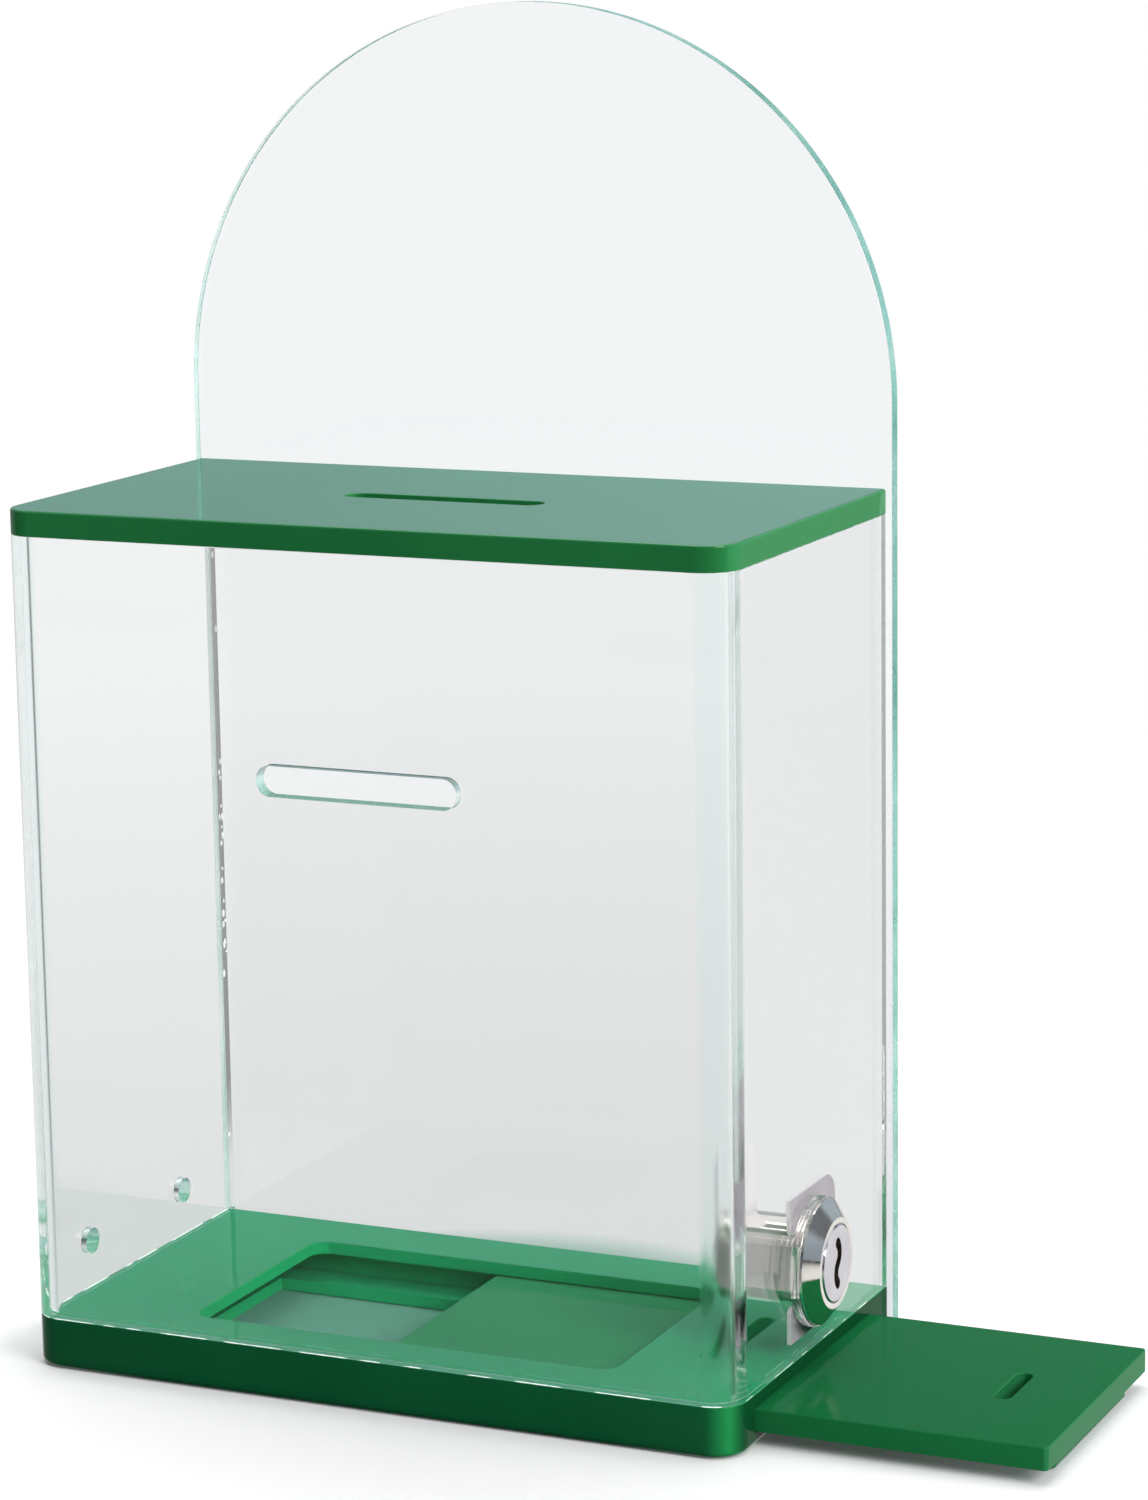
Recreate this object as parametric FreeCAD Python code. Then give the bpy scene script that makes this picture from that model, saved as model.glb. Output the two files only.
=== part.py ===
import FreeCAD, Part
import math
import os

# Counter-top donation box of glued acrylic sheet, sizes in millimetres.
# X runs along the box, Y from front to back, Z up.
# The origin is the middle of the base's underside. The plate under the money
# outlet is drawn out to the right and the lock's cam stands up, clear of it.

# Box
box_width = 180.0            # along the front, over the bent sheet
box_depth = 96.0             # front face to the face of the back panel
bend_radius = 8.0            # outside of the two front bends
wall = 4.0                   # clear sheet of the front and the sides
wall_height = 186.0          # between the base and the lid
lid_thickness = 6.0
lid_edge_round = 0.6         # polished top edge of the lid

# Back panel, a clear sheet with a half-round head
panel_thickness = 4.0
panel_overhang = 1.5         # past each side of the box
panel_height = 315.0

# Money slots, one in the lid and one in the front
slot_length = 50.0
slot_width = 7.0
front_slot_rise = 133.5      # slot centre above the base

# Pair of holes in the left side for a screw, a cord or a chain
side_hole_diameter = 6.0
side_hole_spacing = 45.0
side_hole_rise = 12.0        # hole centres above the base

# Base of three sheets: deck, channel for the plate, ledge that carries it
deck_thickness = 3.0
channel_thickness = 6.0
ledge_thickness = 3.0
outlet_length = 108.0        # opening of the deck
outlet_width = 63.0
outlet_corner = 4.5
ledge_reveal = 7.5           # ledge opening past the left end of the outlet

# Plate that closes the outlet, and the narrower runner glued under it
plate_end_lap = 19.0         # past the left end of the outlet when shut
plate_side_lap = 4.5         # past each long side of the outlet
plate_corner = 1.2
plate_drawn = 68.2           # how far it stands out of the shut place
runner_width = 52.0
runner_setback = 1.75        # from the plate's free end
slide_clearance = 0.3        # round the plate and the runner
slide_end_clearance = 0.5    # left of the shut plate and runner

# Cam lock: clear ring between the side and the head
spacer_thickness = 2.2
spacer_diameter = 30.0

# Cam lock: housing
lock_rise = 20.5             # axis above the base
barrel_diameter = 20.0
barrel_across_flats = 17.0   # flats to the front and to the back
barrel_length = 18.0         # behind the outer face of the side
head_diameter = 29.0
head_edge = 0.6              # straight rim of the cone
head_face_diameter = 21.0
head_height = 3.5
barrel_hole_clearance = 0.15

# Cam lock: plug and keyway
plug_diameter = 14.0
plug_head_diameter = 18.4
plug_head_depth = 2.2
plug_proud = 0.3             # face past the rim of the housing
plug_face_round = 0.5
running_clearance = 0.05     # radial, between the plug and the housing
axial_clearance = 0.2
keyway_height = 9.6          # between the ends of the S, without their round caps
keyway_width = 2.6
keyway_sway = 1.1            # how far the S leaves the middle line
keyway_past = 1.3            # behind the middle of the last wafer

# Cam lock: wafers and their springs
wafer_count = 5
wafer_pitch = 2.8
wafer_thickness = 1.2
wafer_width = 7.0
wafer_rim = 0.95             # above and below the window
wafer_side = 1.2             # beside the window
wafer_clearance = 0.05
first_wafer_depth = 4.5      # from the face of the plug to the first wafer
ear_length = 2.0
ear_height = 1.0
ear_drop = 2.2               # lower face of the ear below the axis
spring_diameter = 1.6
spring_wire = 0.3
spring_height = 4.0
housing_channel_depth = 0.8  # room for the wafers that stand out of the plug
housing_channel_room = 1.4   # past the middle of the first and last wafer

# Cam lock: horseshoe clip that holds the housing to the side
clip_thickness = 1.0
clip_groove_depth = 1.5      # in the top and the bottom of the barrel
clip_leg_width = 8.5
clip_leg_over = 1.0          # leg ends past the barrel
clip_bridge = 3.2            # width of the clip behind the barrel
clip_corner = 6.0
clip_leg_chamfer = 1.2
clip_clearance = 0.1

# Cam lock: stop washer, cam, spring washer and screw on the tail of the plug
tail_width = 6.5
tail_clearance = 0.1
stop_thickness = 0.8
stop_lip = 0.2               # of the washer over the end of the plug
stop_tab_inset = 0.7         # from the outside of the barrel
stop_tab_span = 36.0         # degrees
stop_play = 2.0              # degrees at each end of the turn
lock_turn = 180.0            # degrees, from cam up to cam in the plate
lug_clearance = 0.4          # round the stop washer
lug_height = 0.8
cam_thickness = 2.0
cam_width = 12.0
cam_hub_diameter = 16.0
cam_bite = 1.6               # how far the cam enters the shut plate
cam_slot_clearance = 1.0     # each side of the cam, in the deck and the plate
cam_swing_clearance = 0.4    # past the swing at each end of those slots
washer_diameter = 9.0
washer_clearance = 0.15      # round the screw
washer_thickness = 0.8
washer_split = 0.8
screw_diameter = 4.0
screw_length = 7.0
screw_head_diameter = 7.4
screw_head_height = 2.4
screw_hole_clearance = 0.05
recess_length = 4.0
recess_width = 0.9
recess_depth = 1.3

# Levels of the glued stack
ledge_top = ledge_thickness
channel_top = ledge_top + channel_thickness
deck_top = channel_top + deck_thickness
wall_top = deck_top + wall_height
lid_top = wall_top + lid_thickness

# Plate and runner in the base
right_face = box_width / 2
back_face = box_depth / 2
plate_length = right_face + outlet_length / 2 + plate_end_lap
plate_width = outlet_width + 2 * plate_side_lap
plate_bottom = ledge_top + slide_clearance
plate_top = channel_top - slide_clearance
channel_end = right_face - plate_length - slide_end_clearance
ledge_end = -outlet_length / 2 - ledge_reveal
runner_left = ledge_end + slide_end_clearance
runner_right = right_face - runner_setback

# Lock, measured along its axis from the outer face of the side
lock_axis = deck_top + lock_rise
bore_radius = plug_diameter / 2 + running_clearance
head_back = spacer_thickness
head_front = head_back + head_height
plug_face = head_front + plug_proud
plug_shoulder = -barrel_length - axial_clearance
stop_back = plug_shoulder - stop_thickness
cam_back = stop_back - cam_thickness
tail_end = cam_back + axial_clearance
washer_back = cam_back - washer_thickness
wafer_height = keyway_height + 2 * (wafer_rim + wafer_clearance)
clip_gap = barrel_diameter - 2 * clip_groove_depth
stop_diameter = plug_diameter + 2 * stop_lip
lug_inner_diameter = stop_diameter + 2 * lug_clearance
cam_reach = lock_axis - plate_top + cam_bite
cam_middle = right_face + (stop_back + cam_back) / 2
cam_slot_width = cam_thickness + 2 * cam_slot_clearance

overshoot = 1.0              # of a cutting tool past the face that it cuts

X_AXIS = FreeCAD.Vector(1, 0, 0)
Y_AXIS = FreeCAD.Vector(0, 1, 0)
Z_AXIS = FreeCAD.Vector(0, 0, 1)
ORIGIN = FreeCAD.Vector(0, 0, 0)


def point(x, y, z):
    return FreeCAD.Vector(x, y, z)


def line(a, b):
    return Part.makeLine(a, b)


def arc(a, middle, b):
    return Part.Arc(a, middle, b).toShape()


def block(x0, x1, y0, y1, z0, z1):
    """Box between two corners, used as a cutting tool or a square tongue."""
    return Part.makeBox(x1 - x0, y1 - y0, z1 - z0, point(x0, y0, z0))


def prism(edges, path):
    """Solid from a closed outline moved along a path."""
    return Part.Face(Part.Wire(edges)).extrude(path)


def turned(outline):
    """Solid turned about the X axis from corners given as (x, radius)."""
    corners = [point(x, 0, radius) for x, radius in outline]
    profile = Part.Face(Part.makePolygon(corners + corners[:1]))
    return profile.revolve(ORIGIN, X_AXIS, 360)


def rounded_front(inset, radius, z):
    """Outline of the box seen from above: round front corners, square back."""
    x = right_face - inset
    front = -back_face + inset
    slack = radius * (1 - math.sqrt(0.5))
    back_left = point(-x, back_face, z)
    back_right = point(x, back_face, z)
    side_left = point(-x, front + radius, z)
    side_right = point(x, front + radius, z)
    front_left = point(-x + radius, front, z)
    front_right = point(x - radius, front, z)
    return [
        line(back_left, side_left),
        arc(side_left, point(-x + slack, front + slack, z), front_left),
        line(front_left, front_right),
        arc(front_right, point(x - slack, front + slack, z), side_right),
        line(side_right, back_right),
        line(back_right, back_left),
    ]


def slot(length, width, depth, axis):
    """Round-ended slot about the origin, cut along axis and long across it."""
    half = length / 2 - width / 2
    radius = width / 2
    low_left = point(-half, -radius, -depth / 2)
    low_right = point(half, -radius, -depth / 2)
    high_left = point(-half, radius, -depth / 2)
    high_right = point(half, radius, -depth / 2)
    tool = prism(
        [
            line(low_left, low_right),
            arc(low_right, point(half + radius, 0, -depth / 2), high_right),
            line(high_right, high_left),
            arc(high_left, point(-half - radius, 0, -depth / 2), low_left),
        ],
        Z_AXIS * depth,
    )
    if axis == Y_AXIS:
        tool.rotate(ORIGIN, X_AXIS, 90)
    return tool


def upright_edges(shape):
    """Corner edges of a sheet or opening, which stand along Z."""
    boxes = [(edge, edge.BoundBox) for edge in shape.Edges]
    return [edge for edge, box in boxes if box.ZLength > box.XLength + box.YLength]


def cam_slot(level, depth):
    """Slot for the swing of the cam through a sheet whose top is at level."""
    half_swing = math.sqrt(cam_reach ** 2 - (lock_axis - level) ** 2)
    length = 2 * (half_swing + cam_swing_clearance)
    tool = slot(length, cam_slot_width, depth, Z_AXIS)
    tool.rotate(ORIGIN, Z_AXIS, 90)
    return tool


def double_flat(radius, across, x0, x1):
    """Round bar along X with a flat to the front and to the back."""
    bar = Part.makeCylinder(radius, x1 - x0, point(x0, 0, 0), X_AXIS)
    return bar.common(block(x0, x1, -across / 2, across / 2, -radius, radius))


def barrel_hole(x0, x1):
    """Hole that the flat-sided barrel of the lock passes through."""
    radius = barrel_diameter / 2 + barrel_hole_clearance
    across = barrel_across_flats + 2 * barrel_hole_clearance
    return double_flat(radius, across, x0, x1)


def ring_sector(inner, outer, x, depth, middle, span):
    """Part of a ring about X, with its angles in degrees from up towards the back."""

    def at(radius, angle):
        turn = math.radians(angle)
        return point(x, radius * math.sin(turn), radius * math.cos(turn))

    first = middle - span / 2
    last = middle + span / 2
    return prism(
        [
            arc(at(outer, first), at(outer, middle), at(outer, last)),
            line(at(outer, last), at(inner, last)),
            arc(at(inner, last), at(inner, middle), at(inner, first)),
            line(at(inner, first), at(outer, first)),
        ],
        X_AXIS * depth,
    )


def at_lock(shape):
    """Moves a piece of the lock to its place in the right side."""
    shape.translate(point(right_face, 0, lock_axis))
    return shape


def make_lid():
    """Lid sheet with its money slot and a polished top edge."""
    lid = prism(rounded_front(0, bend_radius, wall_top), Z_AXIS * lid_thickness)
    top_edges = [edge for edge in lid.Edges if edge.BoundBox.ZMin > lid_top - lid_edge_round]
    open_edges = [edge for edge in top_edges if edge.BoundBox.YMin < back_face - lid_edge_round]
    lid = lid.makeFillet(lid_edge_round, open_edges)
    tool = slot(slot_length, slot_width, lid_thickness + 2 * overshoot, Z_AXIS)
    tool.translate(point(0, 0, wall_top + lid_thickness / 2))
    return lid.cut(tool)


def make_window_shell():
    """Front and sides, bent from one clear sheet, open to the back."""
    shell = prism(rounded_front(0, bend_radius, deck_top), Z_AXIS * wall_height)
    inside = rounded_front(wall, bend_radius - wall, deck_top)
    shell = shell.cut(prism(inside, Z_AXIS * wall_height))
    front_slot = slot(slot_length, slot_width, wall + 2 * overshoot, Y_AXIS)
    front_slot.translate(point(0, -back_face + wall / 2, deck_top + front_slot_rise))
    tools = [front_slot]
    for side in (-1, 1):
        start = point(-right_face - overshoot, side * side_hole_spacing / 2, deck_top + side_hole_rise)
        tools.append(Part.makeCylinder(side_hole_diameter / 2, wall + 2 * overshoot, start, X_AXIS))
    tools.append(at_lock(barrel_hole(-wall - overshoot, overshoot)))
    return shell.cut(tools)


def make_back_panel():
    """Clear sheet behind the box, with a half-round head above the lid."""
    half = right_face + panel_overhang
    shoulder = panel_height - half
    foot_left = point(-half, back_face, 0)
    foot_right = point(half, back_face, 0)
    left = point(-half, back_face, shoulder)
    right = point(half, back_face, shoulder)
    return prism(
        [
            line(foot_left, foot_right),
            line(foot_right, right),
            arc(right, point(0, back_face, panel_height), left),
            line(left, foot_left),
        ],
        Y_AXIS * panel_thickness,
    )


def make_base_deck():
    """Top sheet of the base with the money outlet and the slot for the cam."""
    deck = prism(rounded_front(0, bend_radius, channel_top), Z_AXIS * deck_thickness)
    outlet = block(
        -outlet_length / 2, outlet_length / 2,
        -outlet_width / 2, outlet_width / 2,
        channel_top - overshoot, deck_top + overshoot,
    )
    outlet = outlet.makeFillet(outlet_corner, upright_edges(outlet))
    swing = cam_slot(deck_top, deck_thickness + 2 * overshoot)
    swing.translate(point(cam_middle, 0, channel_top + deck_thickness / 2))
    return deck.cut([outlet, swing])


def make_base_sheet(bottom, thickness, left, half_width):
    """Lower base sheet, slit from the right for the plate or its runner."""
    sheet = prism(rounded_front(0, bend_radius, bottom), Z_AXIS * thickness)
    slit = block(
        left, right_face + overshoot,
        -half_width, half_width,
        bottom - overshoot, bottom + thickness + overshoot,
    )
    return sheet.cut(slit)


def make_base_channel():
    """Middle sheet of the base: rails and end stop round the plate."""
    half = plate_width / 2 + slide_clearance
    return make_base_sheet(ledge_top, channel_thickness, channel_end, half)


def make_base_ledge():
    """Bottom sheet of the base: the ledges that carry the plate's edges."""
    half = runner_width / 2 + slide_clearance
    return make_base_sheet(0, ledge_thickness, ledge_end, half)


def make_slide_plate():
    """Plate that closes the outlet, with the keeper slot for the cam."""
    left = right_face - plate_length + plate_drawn
    right = right_face + plate_drawn
    plate = block(left, right, -plate_width / 2, plate_width / 2, plate_bottom, plate_top)
    plate = plate.makeFillet(plate_corner, upright_edges(plate))
    thickness = plate_top - plate_bottom
    keeper = cam_slot(plate_top, thickness + 2 * overshoot)
    keeper.translate(point(cam_middle + plate_drawn, 0, plate_bottom + thickness / 2))
    return plate.cut(keeper)


def make_slide_runner():
    """Narrow strip glued under the plate, guided by the ledge."""
    runner = block(
        runner_left + plate_drawn, runner_right + plate_drawn,
        -runner_width / 2, runner_width / 2,
        slide_clearance, plate_bottom,
    )
    return runner.makeFillet(plate_corner, upright_edges(runner))


def wafer_places():
    """Middle of each wafer along the lock's axis."""
    return [plug_face - first_wafer_depth - index * wafer_pitch for index in range(wafer_count)]


def make_lock_spacer():
    """Clear ring that the head of the lock is drawn against."""
    ring = Part.makeCylinder(spacer_diameter / 2, spacer_thickness, ORIGIN, X_AXIS)
    return at_lock(ring.cut(barrel_hole(-overshoot, spacer_thickness + overshoot)))


def make_stop_lug():
    """Arc on the rear face of the housing that ends the turn of the cam."""
    span = 360 - lock_turn - stop_tab_span - 2 * stop_play
    rear = -barrel_length - lug_height
    return ring_sector(lug_inner_diameter / 2, barrel_diameter / 2, rear, lug_height, -90, span)


def make_lock_housing():
    """Chromed housing: conical head, flat-sided barrel, grooves for the clip."""
    counterbore = plug_head_diameter / 2 + running_clearance
    seat = head_front - plug_head_depth
    housing = turned([
        (-barrel_length, bore_radius),
        (-barrel_length, barrel_diameter / 2),
        (head_back, barrel_diameter / 2),
        (head_back, head_diameter / 2),
        (head_back + head_edge, head_diameter / 2),
        (head_front, head_face_diameter / 2),
        (head_front, counterbore),
        (seat, counterbore),
        (seat, bore_radius),
    ])
    housing = housing.fuse(make_stop_lug())
    rear = -barrel_length - lug_height
    reach = head_diameter
    tools = []
    for side in (-1, 1):
        flat = block(rear - overshoot, head_back, barrel_across_flats / 2, reach, -reach, reach)
        groove = block(
            -wall - clip_thickness - clip_clearance, -wall,
            -reach, reach,
            clip_gap / 2 - clip_clearance, reach,
        )
        if side < 0:
            flat.rotate(ORIGIN, X_AXIS, 180)
            groove.rotate(ORIGIN, X_AXIS, 180)
        tools += [flat, groove]
    places = wafer_places()
    half_width = wafer_width / 2 + 2 * wafer_clearance
    half_height = bore_radius + housing_channel_depth
    tools.append(block(
        places[-1] - housing_channel_room, places[0] + housing_channel_room,
        -half_width, half_width,
        -half_height, half_height,
    ))
    return at_lock(housing.cut(tools))


def make_keyway():
    """S-shaped key slot: two equal arcs, thickened to both sides."""
    half = keyway_height / 2
    thick = keyway_width / 2
    chord = half / 2
    radius = (chord ** 2 + keyway_sway ** 2) / (2 * keyway_sway)
    centre = radius - keyway_sway
    lean = math.atan2(chord, centre)
    x = plug_face + overshoot

    def on_arc(upper, r, angle):
        side = 1 if upper else -1
        return point(x, side * (r * math.cos(angle) - centre), side * (chord + r * math.sin(angle)))

    outer = radius + thick
    inner = radius - thick
    top_cap = on_arc(True, radius, lean) + point(0, -thick * math.sin(lean), thick * math.cos(lean))
    low_cap = on_arc(False, radius, lean) + point(0, thick * math.sin(lean), -thick * math.cos(lean))
    edges = [
        arc(on_arc(True, outer, -lean), on_arc(True, outer, 0), on_arc(True, outer, lean)),
        arc(on_arc(True, outer, lean), top_cap, on_arc(True, inner, lean)),
        arc(on_arc(True, inner, lean), on_arc(True, inner, 0), on_arc(True, inner, -lean)),
        arc(on_arc(False, outer, -lean), on_arc(False, outer, 0), on_arc(False, outer, lean)),
        arc(on_arc(False, outer, lean), low_cap, on_arc(False, inner, lean)),
        arc(on_arc(False, inner, lean), on_arc(False, inner, 0), on_arc(False, inner, -lean)),
    ]
    depth = plug_face - wafer_places()[-1] + keyway_past
    return prism(Part.__sortEdges__(edges), -X_AXIS * (depth + overshoot))


def make_lock_plug():
    """Plug that the key turns: head, keyway, wafer slots and square tail."""
    seat = head_front - plug_head_depth + axial_clearance
    radius = plug_diameter / 2
    head = plug_head_diameter / 2
    plug = turned([
        (plug_shoulder, 0),
        (plug_shoulder, radius),
        (seat, radius),
        (seat, head),
        (plug_face - plug_face_round, head),
        (plug_face, head - plug_face_round),
        (plug_face, 0),
    ])
    half_tail = tail_width / 2
    plug = plug.fuse(block(tail_end, plug_shoulder, -half_tail, half_tail, -half_tail, half_tail))
    tools = [make_keyway()]
    half_slot = wafer_thickness / 2 + wafer_clearance
    half_width = wafer_width / 2 + wafer_clearance
    pocket_radius = spring_diameter / 2 + 2 * wafer_clearance
    spring_foot = ear_height - ear_drop
    spring_head = spring_foot + spring_height + wafer_clearance
    for place in wafer_places():
        tools.append(block(
            place - half_slot, place + half_slot, -half_width, half_width, -radius, radius))
        tools.append(block(
            place - half_slot, place + half_slot,
            half_width - overshoot, wafer_width / 2 + ear_length + wafer_clearance,
            -ear_drop - wafer_clearance, spring_foot,
        ))
        tools.append(Part.makeCylinder(
            pocket_radius, spring_head - spring_foot,
            point(place, wafer_width / 2 + ear_length / 2, spring_foot), Z_AXIS))
    thread = screw_diameter / 2 + screw_hole_clearance
    tools.append(Part.makeCylinder(
        thread, screw_length - washer_thickness + overshoot, point(cam_back, 0, 0), X_AXIS))
    return at_lock(plug.cut(tools))


def make_wafer(place):
    """Brass wafer drawn in flush, with the window for the key and its ear."""
    half = wafer_thickness / 2
    half_width = wafer_width / 2
    half_height = wafer_height / 2
    wafer = block(place - half, place + half, -half_width, half_width, -half_height, half_height)
    ear = block(
        place - half, place + half,
        half_width, half_width + ear_length, -ear_drop, -ear_drop + ear_height)
    window = block(
        place - half - overshoot, place + half + overshoot,
        -half_width + wafer_side, half_width - wafer_side,
        -half_height + wafer_rim, half_height - wafer_rim)
    disc = Part.makeCylinder(
        plug_diameter / 2, wafer_thickness, point(place - half, 0, 0), X_AXIS)
    return at_lock(wafer.fuse(ear).cut(window).common(disc))


def make_wafer_spring(place):
    """Spring of one wafer, as a sleeve of the coil's outer and inner size."""
    middle = point(place, wafer_width / 2 + ear_length / 2, ear_height - ear_drop)
    outer = Part.makeCylinder(spring_diameter / 2, spring_height, middle, Z_AXIS)
    inner = Part.makeCylinder(spring_diameter / 2 - spring_wire, spring_height, middle, Z_AXIS)
    return at_lock(outer.cut(inner))


def make_lock_clip():
    """Horseshoe clip pushed on from the back, its legs in the barrel's grooves."""
    x = -wall - clip_thickness
    low = clip_gap / 2
    high = low + clip_leg_width
    bridge = math.sqrt((barrel_diameter / 2) ** 2 - low ** 2)
    clip_back = bridge + low + clip_bridge
    slack = clip_corner * (1 - math.sqrt(0.5))
    tip = -barrel_diameter / 2 - clip_leg_over
    corner_y = clip_back - clip_corner
    corner_z = high - clip_corner
    upper_tip = point(x, tip, low + clip_leg_chamfer)
    upper_end = point(x, tip, high)
    upper_turn = point(x, corner_y, high)
    upper_back = point(x, clip_back, corner_z)
    lower_back = point(x, clip_back, -corner_z)
    lower_turn = point(x, corner_y, -high)
    lower_end = point(x, tip, -high)
    lower_tip = point(x, tip, -low - clip_leg_chamfer)
    lower_leg = point(x, tip + clip_leg_chamfer, -low)
    lower_root = point(x, bridge, -low)
    upper_root = point(x, bridge, low)
    upper_leg = point(x, tip + clip_leg_chamfer, low)
    outline = [
        line(upper_tip, upper_end),
        line(upper_end, upper_turn),
        arc(upper_turn, point(x, clip_back - slack, high - slack), upper_back),
        line(upper_back, lower_back),
        arc(lower_back, point(x, clip_back - slack, slack - high), lower_turn),
        line(lower_turn, lower_end),
        line(lower_end, lower_tip),
        line(lower_tip, lower_leg),
        line(lower_leg, lower_root),
        arc(lower_root, point(x, bridge + low, 0), upper_root),
        line(upper_root, upper_leg),
        line(upper_leg, upper_tip),
    ]
    return at_lock(prism(outline, X_AXIS * clip_thickness))


def tail_hole(x0, x1):
    """Square hole that a washer or the cam has for the tail of the plug."""
    half = tail_width / 2 + tail_clearance
    return block(x0 - overshoot, x1 + overshoot, -half, half, -half, half)


def make_stop_washer():
    """Washer on the tail whose tab meets the lug at the ends of the turn."""
    disc = Part.makeCylinder(stop_diameter / 2, stop_thickness, point(stop_back, 0, 0), X_AXIS)
    reach = barrel_diameter / 2 - stop_tab_inset
    tab = ring_sector(tail_width, reach, stop_back, stop_thickness, 0, stop_tab_span)
    return at_lock(disc.fuse(tab).cut(tail_hole(stop_back, plug_shoulder)))


def make_lock_cam():
    """Cam that stands up at rest and turns down into the plate's slot."""
    half = cam_width / 2
    hub = cam_hub_diameter / 2
    neck = math.sqrt(hub ** 2 - half ** 2)
    shoulder = cam_reach - half
    neck_left = point(cam_back, -half, neck)
    neck_right = point(cam_back, half, neck)
    end_left = point(cam_back, -half, shoulder)
    end_right = point(cam_back, half, shoulder)
    outline = [
        arc(neck_left, point(cam_back, 0, -hub), neck_right),
        line(neck_right, end_right),
        arc(end_right, point(cam_back, 0, cam_reach), end_left),
        line(end_left, neck_left),
    ]
    cam = prism(outline, X_AXIS * cam_thickness)
    return at_lock(cam.cut(tail_hole(cam_back, stop_back)))


def make_cam_washer():
    """Split spring washer under the head of the screw."""
    ring = Part.makeCylinder(washer_diameter / 2, washer_thickness, point(washer_back, 0, 0), X_AXIS)
    bore = Part.makeCylinder(
        screw_diameter / 2 + washer_clearance, washer_thickness + 2 * overshoot,
        point(washer_back - overshoot, 0, 0), X_AXIS)
    split = block(
        washer_back - overshoot, cam_back + overshoot,
        -washer_split / 2, washer_split / 2, 0, washer_diameter)
    return at_lock(ring.cut([bore, split]))


def make_cam_screw():
    """Domed screw with a cross recess that holds the cam on the tail."""
    head = screw_head_diameter / 2
    crown = washer_back - screw_head_height
    rim = washer_back - screw_head_height / 2
    shank = screw_diameter / 2
    end = washer_back + screw_length
    edges = [
        line(point(crown, 0, 0), point(end, 0, 0)),
        line(point(end, 0, 0), point(end, 0, shank)),
        line(point(end, 0, shank), point(washer_back, 0, shank)),
        line(point(washer_back, 0, shank), point(washer_back, 0, head)),
        line(point(washer_back, 0, head), point(rim, 0, head)),
        arc(
            point(rim, 0, head),
            point(crown + (rim - crown) / 4, 0, head * math.sqrt(0.5)),
            point(crown, 0, 0),
        ),
    ]
    screw = Part.Face(Part.Wire(edges)).revolve(ORIGIN, X_AXIS, 360)
    long_half = recess_length / 2
    thin_half = recess_width / 2
    floor = crown + recess_depth
    upright = block(crown - overshoot, floor, -thin_half, thin_half, -long_half, long_half)
    level = block(crown - overshoot, floor, -long_half, long_half, -thin_half, thin_half)
    return at_lock(screw.cut([upright, level]))


def make_nodes():
    """Every piece of the box, by the name of its file."""
    nodes = {
        "lid": make_lid(),
        "window_shell": make_window_shell(),
        "back_panel": make_back_panel(),
        "base_deck": make_base_deck(),
        "base_channel": make_base_channel(),
        "base_ledge": make_base_ledge(),
        "slide_plate": make_slide_plate(),
        "slide_runner": make_slide_runner(),
        "lock_spacer": make_lock_spacer(),
        "lock_housing": make_lock_housing(),
        "lock_plug": make_lock_plug(),
        "lock_clip": make_lock_clip(),
        "stop_washer": make_stop_washer(),
        "lock_cam": make_lock_cam(),
        "cam_washer": make_cam_washer(),
        "cam_screw": make_cam_screw(),
    }
    for number, place in enumerate(wafer_places(), 1):
        nodes["wafer_%d" % number] = make_wafer(place)
        nodes["wafer_spring_%d" % number] = make_wafer_spring(place)
    return nodes


os.makedirs("parts", exist_ok=True)
for name, shape in make_nodes().items():
    shape.exportStep("parts/%s.step" % name)
    print(name, "solids", len(shape.Solids), "valid", shape.isValid(), "volume", round(shape.Volume, 2))
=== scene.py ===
import math
import random

import bpy
import bmesh
from mathutils import Matrix, Vector


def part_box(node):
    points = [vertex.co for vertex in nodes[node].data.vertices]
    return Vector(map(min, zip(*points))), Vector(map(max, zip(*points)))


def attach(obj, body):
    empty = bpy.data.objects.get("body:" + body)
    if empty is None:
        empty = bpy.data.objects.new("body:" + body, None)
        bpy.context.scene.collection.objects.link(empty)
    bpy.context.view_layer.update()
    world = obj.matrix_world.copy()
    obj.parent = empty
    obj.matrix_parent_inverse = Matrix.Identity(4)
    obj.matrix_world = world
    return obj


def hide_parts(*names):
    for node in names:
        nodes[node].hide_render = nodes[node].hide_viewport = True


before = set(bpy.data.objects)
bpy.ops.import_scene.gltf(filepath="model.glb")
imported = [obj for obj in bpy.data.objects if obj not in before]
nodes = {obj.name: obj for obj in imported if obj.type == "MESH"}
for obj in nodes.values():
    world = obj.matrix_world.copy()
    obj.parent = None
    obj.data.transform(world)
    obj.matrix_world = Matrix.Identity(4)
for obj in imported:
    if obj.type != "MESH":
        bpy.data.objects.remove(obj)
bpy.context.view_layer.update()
mm = 0.001
print("frame loaded:", len(nodes), "nodes")


# mesh tools, sizes in millimetres and angles in degrees

meshRules = {"weld": 0.002, "onPlane": 0.01, "sharpFrom": 40, "smoothBelow": 50, "flatWeight": 100,
             "wireSteps": 2}


def addObject(name, data):
    added = bpy.data.objects.new(name, data)
    bpy.context.scene.collection.objects.link(added)
    return added


def arcPoints(cx, cy, radius, start, end, steps):
    points = []
    for i in range(steps + 1):
        turn = math.radians(start + (end - start) * i / steps)
        points.append((cx + radius * math.cos(turn), cy + radius * math.sin(turn)))
    return points


def ringOutline(radius, steps):
    return arcPoints(0, 0, radius, 0, 360, steps)[:-1]


def slotOutline(length, width, steps=24):
    half = length / 2 - width / 2
    right = arcPoints(half, 0, width / 2, -90, 90, steps)
    left = arcPoints(-half, 0, width / 2, 90, 270, steps)
    return right + left


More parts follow.
